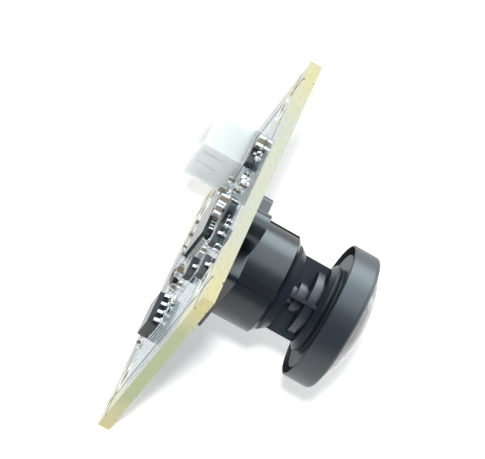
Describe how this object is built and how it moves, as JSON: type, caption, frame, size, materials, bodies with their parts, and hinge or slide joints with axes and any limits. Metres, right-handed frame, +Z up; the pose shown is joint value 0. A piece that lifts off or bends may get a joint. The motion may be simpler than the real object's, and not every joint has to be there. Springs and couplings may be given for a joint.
{
  "type": "board camera module",
  "caption": "Bare square camera circuit board with a wide-angle screw-in lens in a moulded holder on one side and its chips and cable header on the other.",
  "frame": {"origin": "centre of the four mounting holes, on the lens axis, at the board's lens-side face", "axes": "-Y out through the lens along its axis, +Z up along the board, +X along the board"},
  "size_m": [0.038, 0.0285, 0.038],
  "materials": {
    "board_laminate": "glass-filled epoxy board with solder mask",
    "black_nylon": "moulded black nylon, soft sheen",
    "blackened_steel": "black oxide on steel",
    "chip_epoxy": "moulded epoxy, fine grain",
    "clear_glass": "flat polished glass",
    "filter_glass": "coated flat glass with a cyan cast",
    "coated_glass": "polished lens glass with a coating",
    "anodised_aluminium": "turned and black anodised, matte",
    "natural_nylon": "undyed nylon, slightly translucent",
    "plated_brass": "bright plated",
    "tinned_copper": "bright tin",
    "capacitor_ceramic": "fired ceramic",
    "resistor_glaze": "black glaze over ceramic"
  },
  "bodies": {
    "root": {"circuit_board": "board_laminate", "lens_holder": "black_nylon", "holder_screws": "blackened_steel", "image_sensor": "chip_epoxy", "sensor_cover_glass": "clear_glass", "infrared_filter": "filter_glass", "lens_barrel": "anodised_aluminium", "front_lens": "coated_glass", "second_lens": "coated_glass", "third_lens": "coated_glass", "rear_doublet": "coated_glass", "rear_lock_ring": "anodised_aluminium", "connector_housing": "natural_nylon", "connector_pins": "plated_brass", "video_controller": "chip_epoxy", "controller_leads": "tinned_copper", "flash_memory": "chip_epoxy", "flash_leads": "tinned_copper", "regulator_packages": "chip_epoxy", "regulator_leads": "tinned_copper", "capacitor_bodies": "capacitor_ceramic", "capacitor_terminals": "tinned_copper", "resistor_bodies": "resistor_glaze", "resistor_terminals": "tinned_copper"}
  },
  "joints": []
}
